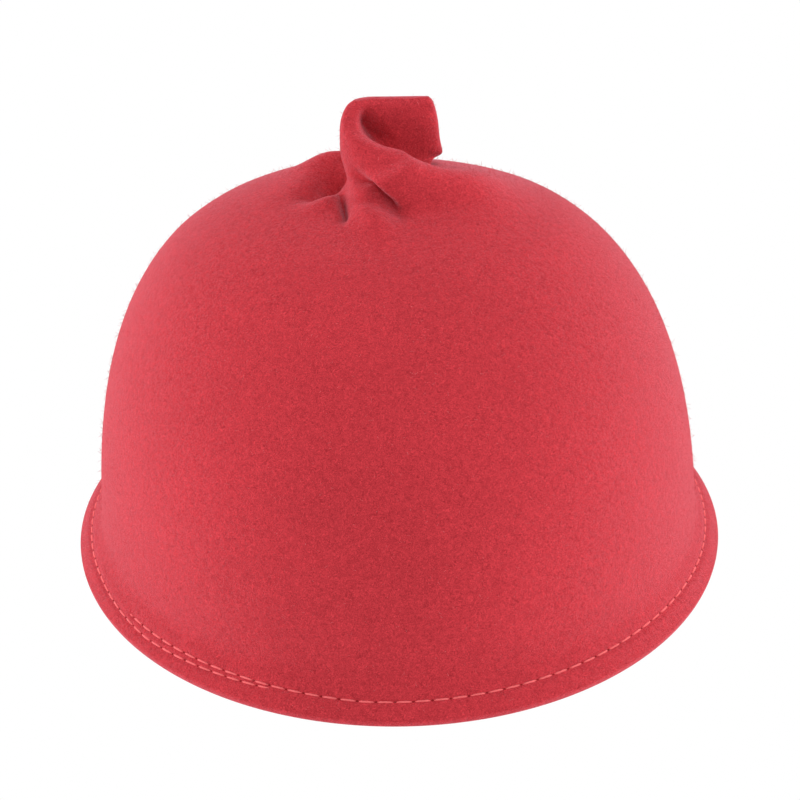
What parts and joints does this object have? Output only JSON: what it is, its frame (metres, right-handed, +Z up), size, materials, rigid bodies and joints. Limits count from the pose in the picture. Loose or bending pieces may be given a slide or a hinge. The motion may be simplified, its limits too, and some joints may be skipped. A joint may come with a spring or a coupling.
{
  "type": "hat",
  "caption": "Felt hat: a deep domed crown, twisted at the top into a short flat stem, above a very short flared brim with a folded, stitched edge",
  "frame": {"origin": "bottom centre of the bounding box, in the plane that the brim's edge rests on", "axes": "+Z up towards the stem, the front of the hat towards -Y, +X to the right as seen from the front"},
  "size_m": [0.1834, 0.219, 0.1316],
  "materials": {
    "felt": "matte"
  },
  "bodies": {
    "root": {"felt_body": "felt"}
  },
  "joints": []
}
